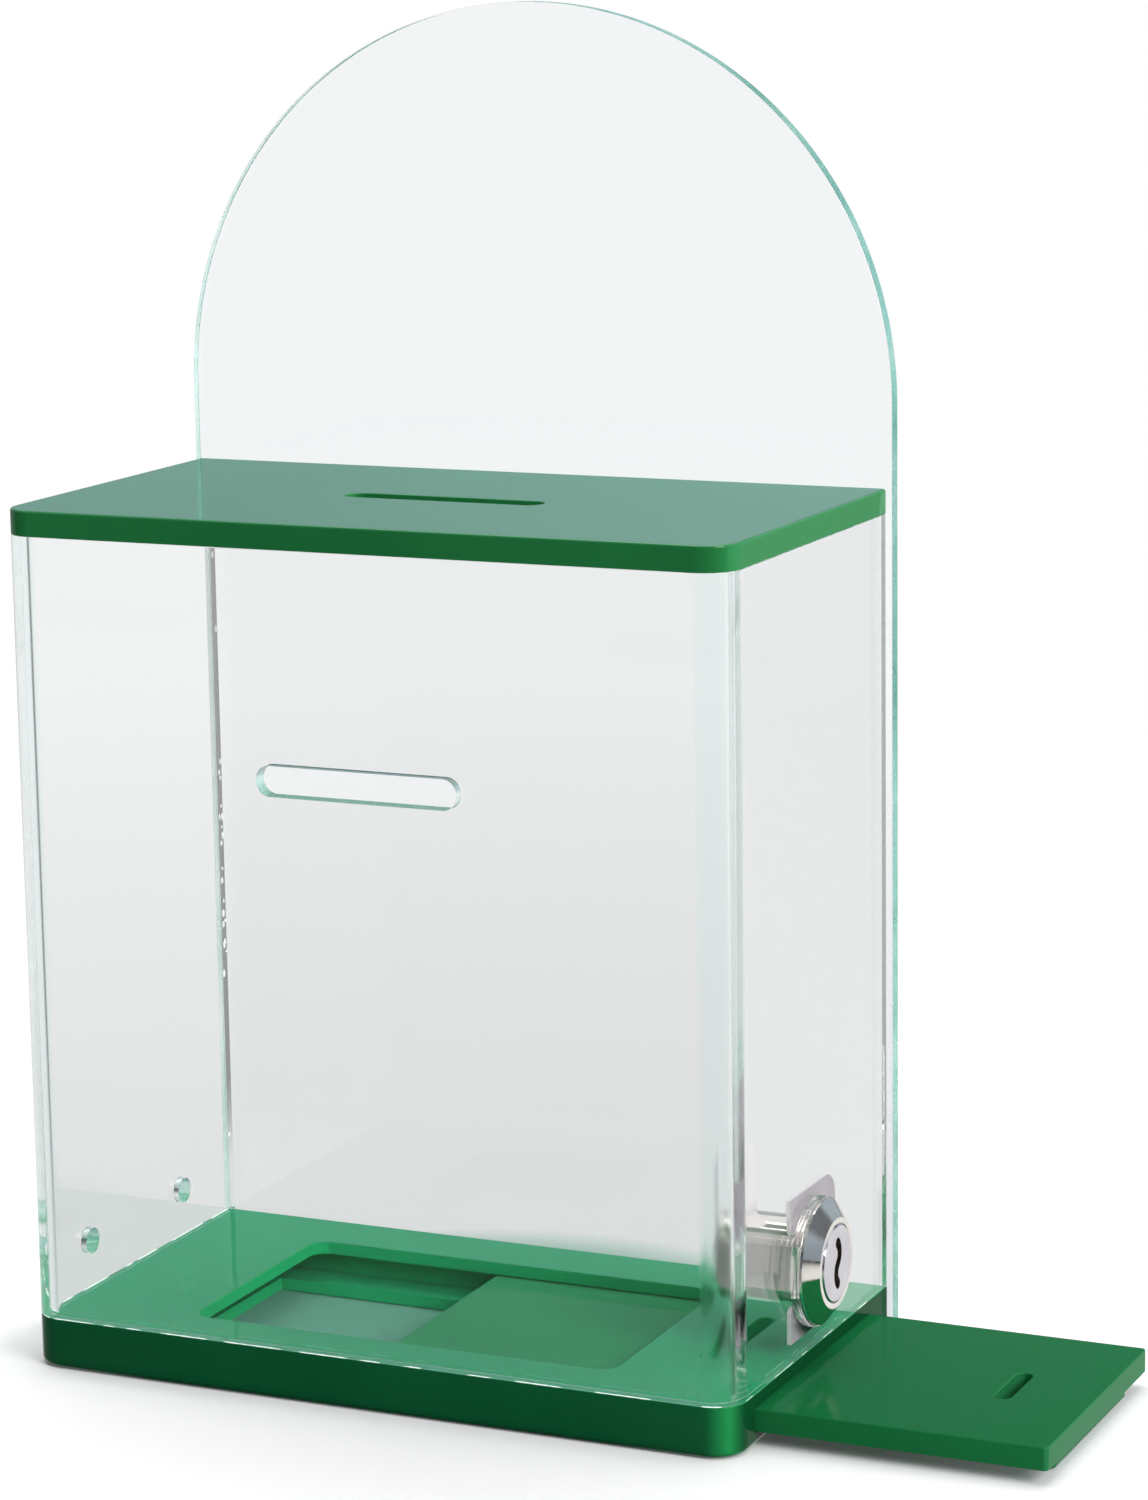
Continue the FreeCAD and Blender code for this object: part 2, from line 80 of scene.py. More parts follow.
def roundedRect(x0, x1, y0, y1, radius, steps=10):
    points = arcPoints(x1 - radius, y0 + radius, radius, 270, 360, steps)
    points += arcPoints(x1 - radius, y1 - radius, radius, 0, 90, steps)
    points += arcPoints(x0 + radius, y1 - radius, radius, 90, 180, steps)
    points += arcPoints(x0 + radius, y0 + radius, radius, 180, 270, steps)
    return points


def placed(x, y, z, axis):
    # moved there after a quarter turn about the axis
    return Matrix.Translation((x * mm, y * mm, z * mm)) @ Matrix.Rotation(math.pi / 2, 4, axis)


def onPlane(value, plane):
    return abs(value - plane) < meshRules["onPlane"]


def prism(name, outline, z0, z1, place=None):
    bm = bmesh.new()
    low = [bm.verts.new((x * mm, y * mm, z0 * mm)) for x, y in outline]
    high = [bm.verts.new((x * mm, y * mm, z1 * mm)) for x, y in outline]
    bm.faces.new(list(reversed(low)))
    bm.faces.new(high)
    for i in range(len(outline)):
        k = (i + 1) % len(outline)
        bm.faces.new((low[i], low[k], high[k], high[i]))
    bmesh.ops.remove_doubles(bm, verts=bm.verts, dist=meshRules["weld"] * mm)
    bmesh.ops.recalc_face_normals(bm, faces=bm.faces)
    mesh = bpy.data.meshes.new(name)
    bm.to_mesh(mesh)
    bm.free()
    if place is not None:
        mesh.transform(place)
    return addObject(name, mesh)


def applyModifiers(piece):
    graph = bpy.context.evaluated_depsgraph_get()
    graph.update()
    old = piece.data
    fresh = bpy.data.meshes.new_from_object(piece.evaluated_get(graph))
    piece.modifiers.clear()
    piece.data = fresh
    fresh.name = piece.name
    bpy.data.meshes.remove(old)


def cutFrom(piece, cutters):
    for cutter in cutters:
        step = piece.modifiers.new("cut", "BOOLEAN")
        step.operation = "DIFFERENCE"
        step.solver = "EXACT"
        step.object = cutter
    applyModifiers(piece)
    for cutter in cutters:
        bpy.data.objects.remove(cutter)


def roundEdges(piece, width, steps, wanted=None):
    # rounds the sharp edges, or those of them whose middle is wanted
    bm = bmesh.new()
    bm.from_mesh(piece.data)
    bmesh.ops.remove_doubles(bm, verts=bm.verts, dist=meshRules["weld"] * mm)
    sharp = math.radians(meshRules["sharpFrom"])
    chosen = []
    for edge in bm.edges:
        if len(edge.link_faces) != 2 or edge.calc_face_angle(0) < sharp:
            continue
        middle = (edge.verts[0].co + edge.verts[1].co) / (2 * mm)
        if wanted is None or wanted(middle):
            chosen.append(edge)
    bmesh.ops.bevel(bm, geom=chosen, offset=width * mm, segments=steps, profile=0.5,
                    affect="EDGES", clamp_overlap=True)
    bm.to_mesh(piece.data)
    bm.free()


def smoothFaces(piece):
    piece.data.shade_smooth()
    piece.data.set_sharp_from_angle(angle=math.radians(meshRules["smoothBelow"]))
    weigh = piece.modifiers.new("evenNormals", "WEIGHTED_NORMAL")
    weigh.weight = meshRules["flatWeight"]
    weigh.keep_sharp = True


def wirePiece(name, lines, wire):
    # round wire or bead through lines of (x, y, z, share of the wire's radius), in metres
    curve = bpy.data.curves.new(name, "CURVE")
    curve.dimensions = "3D"
    curve.bevel_depth = wire
    curve.bevel_resolution = meshRules["wireSteps"]
    curve.use_fill_caps = True
    for line in lines:
        spline = curve.splines.new("POLY")
        spline.points.add(len(line) - 1)
        for point, (x, y, z, share) in zip(spline.points, line):
            point.co = (x, y, z, 1)
            point.radius = share
    wireObject = addObject(name, curve)
    graph = bpy.context.evaluated_depsgraph_get()
    mesh = bpy.data.meshes.new_from_object(wireObject.evaluated_get(graph))
    bpy.data.objects.remove(wireObject)
    bpy.data.curves.remove(curve)
    mesh.name = name
    mesh.materials.clear()
    mesh.shade_smooth()
    return addObject(name, mesh)


def dress(piece, *materials):
    for material in materials:
        piece.data.materials.append(material)


def handOver(piece, body, slotName, *stoodFor):
    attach(piece, body)
    if stoodFor:
        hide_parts(*stoodFor)
    return piece


# material tools

acrylicIor = 1.49
noiseReach = (0.3, 0.7)  # most of a noise lies between these
black = (0.0, 0.0, 0.0)
white = (1.0, 1.0, 1.0)


def newMaterial(name):
    material = bpy.data.materials.new(name)
    material.use_nodes = True
    tree = material.node_tree
    return material, tree, tree.nodes["Principled BSDF"]


def objectCoords(tree):
    return tree.nodes.new("ShaderNodeTexCoord").outputs["Object"]


def noiseAt(tree, coords, scale, detail, stretch=None):
    source = coords
    if stretch is not None:
        mapping = tree.nodes.new("ShaderNodeMapping")
        mapping.inputs["Scale"].default_value = stretch
        tree.links.new(source, mapping.inputs["Vector"])
        source = mapping.outputs["Vector"]
    noise = tree.nodes.new("ShaderNodeTexNoise")
    noise.inputs["Scale"].default_value = scale
    noise.inputs["Detail"].default_value = detail
    tree.links.new(source, noise.inputs["Vector"])
    return noise.outputs["Fac"]


def ramp(tree, fac, stops):
    node = tree.nodes.new("ShaderNodeValToRGB")
    while len(node.color_ramp.elements) < len(stops):
        node.color_ramp.elements.new(0.5)
    for element, (place, colour) in zip(node.color_ramp.elements, stops):
        element.position = place
        element.color = colour + (1.0,)
    tree.links.new(fac, node.inputs["Fac"])
    return node.outputs["Color"]


def twoTone(tree, fac, look):
    return ramp(tree, fac, [(noiseReach[0], look["deep"]), (noiseReach[1], look["light"])])


def spread(tree, fac, low, high, fromLow=noiseReach[0], fromHigh=noiseReach[1]):
    node = tree.nodes.new("ShaderNodeMapRange")
    node.inputs["From Min"].default_value = fromLow
    node.inputs["From Max"].default_value = fromHigh
    node.inputs["To Min"].default_value = low
    node.inputs["To Max"].default_value = high
    tree.links.new(fac, node.inputs["Value"])
    return node.outputs["Result"]


def times(tree, first, second):
    node = tree.nodes.new("ShaderNodeMath")
    node.operation = "MULTIPLY"
    tree.links.new(first, node.inputs[0])
    tree.links.new(second, node.inputs[1])
    return node.outputs[0]


def splitAxes(tree, vector):
    node = tree.nodes.new("ShaderNodeSeparateXYZ")
    tree.links.new(vector, node.inputs[0])
    return node.outputs


def bumpFrom(tree, height, strength, distance):
    node = tree.nodes.new("ShaderNodeBump")
    node.inputs["Strength"].default_value = strength
    node.inputs["Distance"].default_value = distance
    tree.links.new(height, node.inputs["Height"])
    return node.outputs["Normal"]


def tinted(tree, body, colour, share):
    node = tree.nodes.new("ShaderNodeMix")
    node.data_type = "RGBA"
    tree.links.new(share, node.inputs["Factor"])
    tree.links.new(body, node.inputs["A"])
    node.inputs["B"].default_value = colour + (1.0,)
    return node.outputs["Result"]


# the two facing ranges set where the painted shading of tops and right sides fades in
greenRules = {"cloudDetail": 3.0, "hazeDetail": 6.0, "hazeStretch": (1.0, 3.5, 1.0),
              "grainScale": 900.0, "grainDetail": 5.0, "grainStrength": 0.02, "grainDepth": 0.0004,
              "topFacing": (0.5, 0.95), "sideFacing": (0.35, 0.95)}


def greenSheet(name, look):
    r = greenRules
    material, tree, shader = newMaterial(name)
    coords = objectCoords(tree)
    body = twoTone(tree, noiseAt(tree, coords, look["cloudScale"], r["cloudDetail"]), look)
    # painted light and shade: the top, the right side and the round right corners get their own
    # colours by the way they face, standing for light falling on them and for light that runs
    # through the sheet and comes out there
    facing = splitAxes(tree, tree.nodes.new("ShaderNodeNewGeometry").outputs["Normal"])
    topShadingShare = spread(tree, facing["Z"], 0.0, 1.0, *r["topFacing"])
    body = tinted(tree, body, look["topPaintedShading"], topShadingShare)
    if "partPaintedLight" in look:
        # painted light: a paler part of the top, from one end
        endLightShare = spread(tree, splitAxes(tree, coords)["X"], 1.0, 0.0, *look["partLightReach"])
        body = tinted(tree, body, look["partPaintedLight"], times(tree, endLightShare, topShadingShare))
    sideShadingShare = spread(tree, facing["X"], 0.0, 1.0, *r["sideFacing"])
    body = tinted(tree, body, look["sidePaintedShading"], sideShadingShare)
    # painted highlight on the round right corners, peaking where they face part way to the right
    start, peak, end = look["corner"]
    cornerShadingShare = ramp(tree, facing["X"], [(start, black), (peak, white), (end, black)])
    body = tinted(tree, body, look["cornerPaintedShading"], cornerShadingShare)
    tree.links.new(body, shader.inputs["Base Color"])
    haze = noiseAt(tree, coords, look["hazeScale"], r["hazeDetail"], r["hazeStretch"])
    rough = spread(tree, haze, look["roughLow"], look["roughHigh"])
    tree.links.new(rough, shader.inputs["Roughness"])
    grain = noiseAt(tree, coords, r["grainScale"], r["grainDetail"])
    tree.links.new(bumpFrom(tree, grain, r["grainStrength"], r["grainDepth"]),
                   shader.inputs["Normal"])
    shader.inputs["IOR"].default_value = acrylicIor
    shader.inputs["Specular IOR Level"].default_value = look["gloss"]
    return material


clearRules = {"smudgeDetail": 4.0, "smudgeReach": (0.45, 0.8), "waveDetail": 1.0,
              "waveStretch": (1.0, 1.0, 0.35), "waveDepth": 0.0005}


def clearSheet(name, look):
    r = clearRules
    material, tree, shader = newMaterial(name)
    coords = objectCoords(tree)
    shader.inputs["Base Color"].default_value = look["tint"] + (1.0,)
    shader.inputs["IOR"].default_value = acrylicIor
    shader.inputs["Transmission Weight"].default_value = 1.0
    smudge = noiseAt(tree, coords, look["smudgeScale"], r["smudgeDetail"])
    rough = spread(tree, smudge, look["clean"], look["smudge"], *r["smudgeReach"])
    tree.links.new(rough, shader.inputs["Roughness"])
    wave = noiseAt(tree, coords, look["waveScale"], r["waveDetail"], r["waveStretch"])
    tree.links.new(bumpFrom(tree, wave, look["waveStrength"], r["waveDepth"]),
                   shader.inputs["Normal"])
    return material


cutRules = {"streakDetail": 4.0, "stops": (0.3, 0.55, 0.75), "sawDetail": 3.0, "rough": (0.08, 0.3),
            "sawStrength": 0.1, "sawDepth": 0.0002}


# the cut edge's colour is partly the acrylic's own teal and partly painted light: pale streaks
# standing for light that runs along the sheet and leaves at the cut
def cutEdge(name, look):
    r = cutRules
    material, tree, shader = newMaterial(name)
    coords = objectCoords(tree)
    streak = noiseAt(tree, coords, look["streakScale"], r["streakDetail"])
    tones = (look["deep"], look["mid"], look["pale"])
    tree.links.new(ramp(tree, streak, list(zip(r["stops"], tones))), shader.inputs["Base Color"])
    saw = noiseAt(tree, coords, look["sawScale"], r["sawDetail"])
    tree.links.new(spread(tree, saw, *r["rough"]), shader.inputs["Roughness"])
    tree.links.new(bumpFrom(tree, saw, r["sawStrength"], r["sawDepth"]), shader.inputs["Normal"])
    shader.inputs["IOR"].default_value = acrylicIor
    shader.inputs["Transmission Weight"].default_value = look["through"]
    return material


metalRules = {"cloudDetail": 3.0, "scratchDetail": 6.0, "scratchDepth": 0.0001}


def metal(name, look):
    r = metalRules
    material, tree, shader = newMaterial(name)
    coords = objectCoords(tree)
    cloud = noiseAt(tree, coords, look["cloudScale"], r["cloudDetail"])
    tree.links.new(twoTone(tree, cloud, look), shader.inputs["Base Color"])
    scratch = noiseAt(tree, coords, look["scratchScale"], r["scratchDetail"], look["stretch"])
    rough = spread(tree, scratch, look["roughLow"], look["roughHigh"])
    tree.links.new(rough, shader.inputs["Roughness"])
    tree.links.new(bumpFrom(tree, scratch, look["bump"], r["scratchDepth"]),
                   shader.inputs["Normal"])
    shader.inputs["Metallic"].default_value = look["metallic"]
    return material


glueRules = {"cloudDetail": 4.0, "rough": (0.15, 0.4), "lumpStrength": 0.3, "lumpDepth": 0.0002}


def driedGlue(name, look):
    r = glueRules
    material, tree, shader = newMaterial(name)
    cloud = noiseAt(tree, objectCoords(tree), look["cloudScale"], r["cloudDetail"])
    tree.links.new(twoTone(tree, cloud, look), shader.inputs["Base Color"])
    tree.links.new(spread(tree, cloud, *r["rough"]), shader.inputs["Roughness"])
    tree.links.new(bumpFrom(tree, cloud, r["lumpStrength"], r["lumpDepth"]),
                   shader.inputs["Normal"])
    shader.inputs["IOR"].default_value = acrylicIor
    shader.inputs["Transmission Weight"].default_value = look["through"]
    # painted light: the glue glows, for light that runs in the clear sheet and comes out at the glue
    shader.inputs["Emission Color"].default_value = look["light"] + (1.0,)
    shader.inputs["Emission Strength"].default_value = look["glow"]
    return material


# finishes

# the top, side and corner colours below are painted light and shade, picked by the way a face turns
lidLook = {"deep": (0.014, 0.178, 0.047), "light": (0.021, 0.218, 0.059),
           "cloudScale": 14.0, "hazeScale": 60.0, "roughLow": 0.05, "roughHigh": 0.12,
           "gloss": 0.40, "corner": (0.12, 0.5, 0.92),
           "topPaintedShading": (0.006, 0.176, 0.058), "sidePaintedShading": (0.035, 0.300, 0.090),
           "cornerPaintedShading": (0.019, 0.195, 0.050),
           # painted light: the right end of the top is paler
           "partPaintedLight": (0.050, 0.240, 0.120), "partLightReach": (0.085, -0.045)}
baseLook = {"deep": (0.004, 0.100, 0.032), "light": (0.007, 0.130, 0.042),
            "cloudScale": 16.0, "hazeScale": 55.0, "roughLow": 0.03, "roughHigh": 0.07,
            "gloss": 0.04, "corner": (0.15, 0.72, 0.985),
            "topPaintedShading": (0.016, 0.290, 0.118), "sidePaintedShading": (0.004, 0.080, 0.024),
            "cornerPaintedShading": (0.020, 0.340, 0.090)}
# painted light: the walls inside the outlet and the channel get a paler body colour, standing for
# light in the recess
innerPaintedLightLook = dict(baseLook, deep=(0.012, 0.360, 0.125), light=(0.016, 0.420, 0.150),
                 sidePaintedShading=(0.012, 0.340, 0.115), cornerPaintedShading=(0.012, 0.340, 0.115))
topLook = dict(baseLook, gloss=0.22)  # the tops are polished more than the sides
# painted light: the inner half of the plate's top is paler, as if light gathered inside the box, and
# stays paler when the plate is drawn out
plateLook = {"deep": (0.009, 0.170, 0.047), "light": (0.014, 0.210, 0.060),
             "cloudScale": 18.0, "hazeScale": 50.0, "roughLow": 0.05, "roughHigh": 0.13,
             "gloss": 0.03, "corner": (0.12, 0.5, 0.92),
             "topPaintedShading": (0.007, 0.132, 0.039), "sidePaintedShading": (0.026, 0.220, 0.076),
             "cornerPaintedShading": (0.030, 0.230, 0.085),
             "partPaintedLight": (0.034, 0.245, 0.102), "partLightReach": (0.056, 0.088)}
clearLook = {"tint": (0.990, 0.988, 0.986), "smudgeScale": 22.0, "clean": 0.0, "smudge": 0.02,
             "waveScale": 18.0, "waveStrength": 0.03}
bendLook = {"tint": (0.920, 0.985, 0.965), "smudgeScale": 30.0, "clean": 0.12, "smudge": 0.24,
            "waveScale": 18.0, "waveStrength": 0.03}
edgeLook = {"deep": (0.16, 0.52, 0.42), "mid": (0.40, 0.80, 0.70), "pale": (0.80, 0.96, 0.92),
            "streakScale": 60.0, "sawScale": 1500.0, "through": 0.55}
# paler still on the cut edges of the bent window, more painted light
rimLook = dict(edgeLook, deep=(0.34, 0.70, 0.61), mid=(0.60, 0.90, 0.83), pale=(0.90, 0.99, 0.96),
               through=0.65)
chromeLook = {"deep": (0.78, 0.75, 0.71), "light": (0.90, 0.87, 0.82), "cloudScale": 120.0,
              "scratchScale": 900.0, "stretch": (0.15, 1.0, 1.0),
              "roughLow": 0.05, "roughHigh": 0.14, "bump": 0.03, "metallic": 1.0}
plugLook = {"deep": (0.64, 0.62, 0.66), "light": (0.74, 0.72, 0.75), "cloudScale": 140.0,
            "scratchScale": 700.0, "stretch": (1.0, 1.0, 0.15),
            "roughLow": 0.10, "roughHigh": 0.22, "bump": 0.03, "metallic": 1.0}
zincLook = {"deep": (0.74, 0.71, 0.72), "light": (0.86, 0.83, 0.84), "cloudScale": 200.0,
            "scratchScale": 1400.0, "stretch": (1.0, 0.2, 1.0),
            "roughLow": 0.18, "roughHigh": 0.38, "bump": 0.08, "metallic": 0.5}
brassLook = {"deep": (0.60, 0.42, 0.16), "light": (0.78, 0.60, 0.28), "cloudScale": 300.0,
             "scratchScale": 1800.0, "stretch": (1.0, 0.3, 1.0),
             "roughLow": 0.2, "roughHigh": 0.4, "bump": 0.06, "metallic": 1.0}
nickelLook = {"deep": (0.71, 0.68, 0.71), "light": (0.79, 0.76, 0.79), "cloudScale": 90.0,
              "scratchScale": 700.0, "stretch": (1.0, 0.2, 1.0),
              "roughLow": 0.3, "roughHigh": 0.45, "bump": 0.02, "metallic": 0.2}
# the glue's glow is painted light
glueLook = {"deep": (0.80, 0.90, 0.86), "light": (0.98, 1.00, 0.99), "cloudScale": 400.0,
            "through": 0.05, "glow": 0.35}

lidGreen = greenSheet("lidGreen", lidLook)
baseGreen = greenSheet("baseGreen", baseLook)
baseWallsPaintedLight = greenSheet("baseWallsPaintedLight", innerPaintedLightLook)
baseTop = greenSheet("baseTop", topLook)
plateGreen = greenSheet("plateGreen", plateLook)
clearAcrylic = clearSheet("clearAcrylic", clearLook)
bentAcrylic = clearSheet("bentAcrylic", bendLook)
clearCut = cutEdge("clearCut", edgeLook)
clearRim = cutEdge("clearRim", rimLook)
lockChrome = metal("lockChrome", chromeLook)
plugChrome = metal("plugChrome", plugLook)
zincSteel = metal("zincSteel", zincLook)
waferBrass = metal("waferBrass", brassLook)
paleNickel = metal("paleNickel", nickelLook)
glueWhite = driedGlue("glueWhite", glueLook)
print("finishes made")


# outline of the box from above, round at the front

boxShape = {"half": 90.0, "front": -48.0, "back": 48.0, "bend": 8.0, "wall": 4.0, "seam": 0.06,
            "bendSteps": 28}


def boxOutline(inset, backGap):
    half = boxShape["half"] - inset
    front = boxShape["front"] + inset
    back = boxShape["back"] - backGap
    radius = boxShape["bend"] - inset
    steps = boxShape["bendSteps"]
    points = [(-half, back)]
    points += arcPoints(-half + radius, front + radius, radius, 180, 270, steps)
    points += arcPoints(half - radius, front + radius, radius, 270, 360, steps)
    points.append((half, back))
    return points


def bendCentre():
    return boxShape["half"] - boxShape["bend"], boxShape["front"] + boxShape["bend"]


def sheetDepth(x, y):
    # depth of a point behind the front and side faces
    cornerX, cornerY = bendCentre()
    if y < cornerY and abs(x) > cornerX:
        return boxShape["bend"] - math.hypot(abs(x) - cornerX, y - cornerY)
    return min(boxShape["half"] - abs(x), y - boxShape["front"])


# lid; each round is a width and its steps

lidShape = {"low": 198.0, "high": 204.0, "slotLength": 50.0, "slotWidth": 7.0,
            "slotZone": (26.0, 5.0), "cut": (190.0, 210.0),
            "topRound": (0.6, 3), "slotRound": (0.3, 2), "underRound": (0.2, 2)}


def makeLid():
    s = lidShape
    lid = prism("lid_sheet", boxOutline(0, boxShape["seam"]), s["low"], s["high"])
    cutFrom(lid, [prism("slotTool", slotOutline(s["slotLength"], s["slotWidth"]), *s["cut"])])
    zoneX, zoneY = s["slotZone"]

    def atSlot(p):
        return abs(p.x) < zoneX and abs(p.y) < zoneY

    roundEdges(lid, *s["topRound"], lambda p: onPlane(p.z, s["high"]) and not atSlot(p))
    roundEdges(lid, *s["slotRound"], lambda p: onPlane(p.z, s["high"]) and atSlot(p))
    roundEdges(lid, *s["underRound"], lambda p: onPlane(p.z, s["low"]))
    dress(lid, lidGreen)
    smoothFaces(lid)
    return handOver(lid, "box", "green_acrylic", "lid")


makeLid()
print("lid made")


# base of three sheets

baseShape = {"ledgeTop": 3.0, "channelTop": 9.0, "deckTop": 12.0,
             "outletLength": 108.0, "outletWidth": 63.0, "outletCorner": 4.5,
             "channelLeft": -73.5, "channelHalf": 36.3, "ledgeLeft": -61.5, "ledgeHalf": 26.3,
             "mouth": 100.0, "slitCorner": 0.4, "slitSteps": 3,
             "camSlotX": 70.0, "camSlotLength": 30.8, "camSlotWidth": 4.0, "camSlotSteps": 12,
             "deckCut": (5.0, 15.0), "channelCut": (0.0, 12.0), "ledgeCut": (-3.0, 6.0),
             "edge": (0.35, 3), "foot": (1.6, 4), "footDepth": 0.1,
             "innerFrom": 1.0, "topFacing": 0.7, "wallFacing": 0.5}


def paintBase(sheet):
    # slot 1 for the walls of the outlet and the channel, which are painted lighter as painted light
    # in the recess, slot 2 for the tops
    b = baseShape
    for face in sheet.data.polygons:
        middle = face.center / mm
        inner = (sheetDepth(middle.x, middle.y) > b["innerFrom"]
                 and middle.y < boxShape["back"] - b["innerFrom"])
        if face.normal.z > b["topFacing"]:
            face.material_index = 2
        elif inner and abs(face.normal.z) < b["wallFacing"]:
            face.material_index = 1


def slitSheet(name, low, high, left, halfWide, cut):
    # sheet with a wide slit that is open to the right
    b = baseShape
    sheet = prism(name, boxOutline(0, boxShape["seam"]), low, high)
    slit = roundedRect(left, b["mouth"], -halfWide, halfWide, b["slitCorner"], b["slitSteps"])
    cutFrom(sheet, [prism("slitTool", slit, *cut)])
    return sheet


def makeBase():
    b = baseShape
    halfLong = b["outletLength"] / 2
    halfWide = b["outletWidth"] / 2
    deck = prism("base_deck_sheet", boxOutline(0, boxShape["seam"]), b["channelTop"], b["deckTop"])
    opening = roundedRect(-halfLong, halfLong, -halfWide, halfWide, b["outletCorner"])
    outlet = prism("outletTool", opening, *b["deckCut"])
    swing = prism("swingTool", slotOutline(b["camSlotLength"], b["camSlotWidth"], b["camSlotSteps"]),
                  *b["deckCut"], placed(b["camSlotX"], 0, 0, "Z"))
    cutFrom(deck, [outlet, swing])
    roundEdges(deck, *b["edge"], lambda p: onPlane(p.z, b["deckTop"]))
    channel = slitSheet("base_channel_sheet", b["ledgeTop"], b["channelTop"],
                        b["channelLeft"], b["channelHalf"], b["channelCut"])
    ledge = slitSheet("base_ledge_sheet", 0, b["ledgeTop"],
                      b["ledgeLeft"], b["ledgeHalf"], b["ledgeCut"])
    roundEdges(ledge, *b["foot"],
               lambda p: onPlane(p.z, 0) and sheetDepth(p.x, p.y) < b["footDepth"])
    for sheet, node in ((deck, "base_deck"), (channel, "base_channel"), (ledge, "base_ledge")):
        dress(sheet, baseGreen, baseWallsPaintedLight, baseTop)
        paintBase(sheet)
        smoothFaces(sheet)
        handOver(sheet, "box", "green_acrylic", node)


makeBase()
print("base made")


# sliding plate and its runner

plateShape = {"corner": 1.2, "edge": (0.4, 3), "keeperInset": 20.0, "keeperLength": 18.55,
              "keeperWidth": 4.0, "keeperSteps": 16, "keeperCut": (0.0, 12.0),
              "runnerEdge": (0.25, 2), "glueGap": 0.01}


def makePlate():
    s = plateShape
    low, high = [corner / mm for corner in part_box("slide_plate")]
    plate = prism("slide_plate_sheet", roundedRect(low.x, high.x, low.y, high.y, s["corner"]),
                  low.z, high.z)
    slot = slotOutline(s["keeperLength"], s["keeperWidth"], s["keeperSteps"])
    keeper = prism("keeperTool", slot, *s["keeperCut"],
                   placed(high.x - s["keeperInset"], 0, 0, "Z"))
    cutFrom(plate, [keeper])
    roundEdges(plate, *s["edge"])
    low, high = [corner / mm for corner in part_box("slide_runner")]
    runner = prism("slide_runner_strip", roundedRect(low.x, high.x, low.y, high.y, s["corner"]),
                   low.z, high.z - s["glueGap"])
    roundEdges(runner, *s["runnerEdge"])
    for sheet, node in ((plate, "slide_plate"), (runner, "slide_runner")):
        dress(sheet, plateGreen)
        smoothFaces(sheet)
        handOver(sheet, "plate", "green_acrylic", node)


makePlate()
print("plate made")


# clear front and sides, bent from one sheet

windowShape = {"low": 12.0, "high": 198.0, "seat": 0.04, "cutDepth": 6.0,
               "slotLength": 50.0, "slotWidth": 7.0, "slotZ": 145.5,
               "holeRadius": 3.0, "holeY": 22.5, "holeZ": 24.0, "holeSteps": 48,
               "lockZ": 32.5, "lockRadius": 10.15, "lockFlat": 8.65, "lockSteps": 96,
               "edge": (0.22, 2), "skin": 0.3, "gluedFacing": 0.9}


def paintCutEdges(piece, depthAt):
    # slot 1 between the two skins; the ends that are glued to the back panel stay clear
    skin = windowShape["skin"]
    for face in piece.data.polygons:
        depth = depthAt(face.center / mm)
        glued = face.normal.y > windowShape["gluedFacing"]
        face.material_index = 1 if skin < depth < boxShape["wall"] - skin and not glued else 0


def paintBends(piece):
    # slot 2: heat leaves the two bends a little hazy
    cornerX, cornerY = bendCentre()
    for face in piece.data.polygons:
        middle = face.center / mm
        if face.material_index == 0 and abs(middle.x) > cornerX and middle.y < cornerY:
            face.material_index = 2


def lockHoleTool(x):
    # flat-sided hole for the barrel, flats to the front and back
    w = windowShape
    flat = w["lockFlat"]
    ring = ringOutline(w["lockRadius"], w["lockSteps"])
    outline = [(across, max(-flat, min(flat, y))) for across, y in ring]
    return prism("lockHoleTool", outline, -w["cutDepth"], w["cutDepth"],
                 placed(x, 0, w["lockZ"], "Y"))


def makeWindow():
    w = windowShape
    depth = w["cutDepth"]
    frontMiddle = boxShape["front"] + boxShape["wall"] / 2
    sideMiddle = boxShape["half"] - boxShape["wall"] / 2
    outer = boxOutline(0, boxShape["seam"])
    inner = boxOutline(boxShape["wall"], boxShape["seam"])
    # glued without an air gap, so the ends reach a little into the lid and the deck
    shell = prism("window_bent_sheet", outer + list(reversed(inner)),
                  w["low"] - w["seat"], w["high"] + w["seat"])
    tools = [prism("frontSlotTool", slotOutline(w["slotLength"], w["slotWidth"]), -depth, depth,
                   placed(0, frontMiddle, w["slotZ"], "X"))]
    for side in (-1, 1):
        ring = ringOutline(w["holeRadius"], w["holeSteps"])
        tools.append(prism("sideHoleTool", ring, -depth, depth,
                           placed(-sideMiddle, side * w["holeY"], w["holeZ"], "Y")))
    tools.append(lockHoleTool(sideMiddle))
    cutFrom(shell, tools)
    roundEdges(shell, *w["edge"])
    dress(shell, clearAcrylic, clearRim, bentAcrylic)
    paintCutEdges(shell, lambda p: sheetDepth(p.x, p.y))
    paintBends(shell)
    smoothFaces(shell)
    shell.visible_shadow = False
    return handOver(shell, "box", "clear_acrylic", "window_shell")


makeWindow()
print("window made")


# clear back panel with its half-round head

panelShape = {"half": 91.5, "height": 315.0, "front": 48.0, "back": 52.0, "edge": (0.3, 2),
              "headSteps": 120}


def makePanel():
    s = panelShape
    shoulder = s["height"] - s["half"]
    outline = [(-s["half"], 0), (s["half"], 0)]
    outline += arcPoints(0, shoulder, s["half"], 0, 180, s["headSteps"])
    panel = prism("back_panel_sheet", outline, -s["back"], -s["front"], placed(0, 0, 0, "X"))
    roundEdges(panel, *s["edge"])
    dress(panel, clearAcrylic, clearCut)
    paintCutEdges(panel, lambda p: p.y - s["front"])
    smoothFaces(panel)
    panel.visible_shadow = False
    return handOver(panel, "box", "clear_acrylic", "back_panel")


makePanel()
print("panel made")


# lock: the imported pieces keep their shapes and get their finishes

waferNumbers = range(1, 6)


def dressNode(name, material):
    mesh = nodes[name].data
    mesh.materials.clear()
    mesh.materials.append(material)


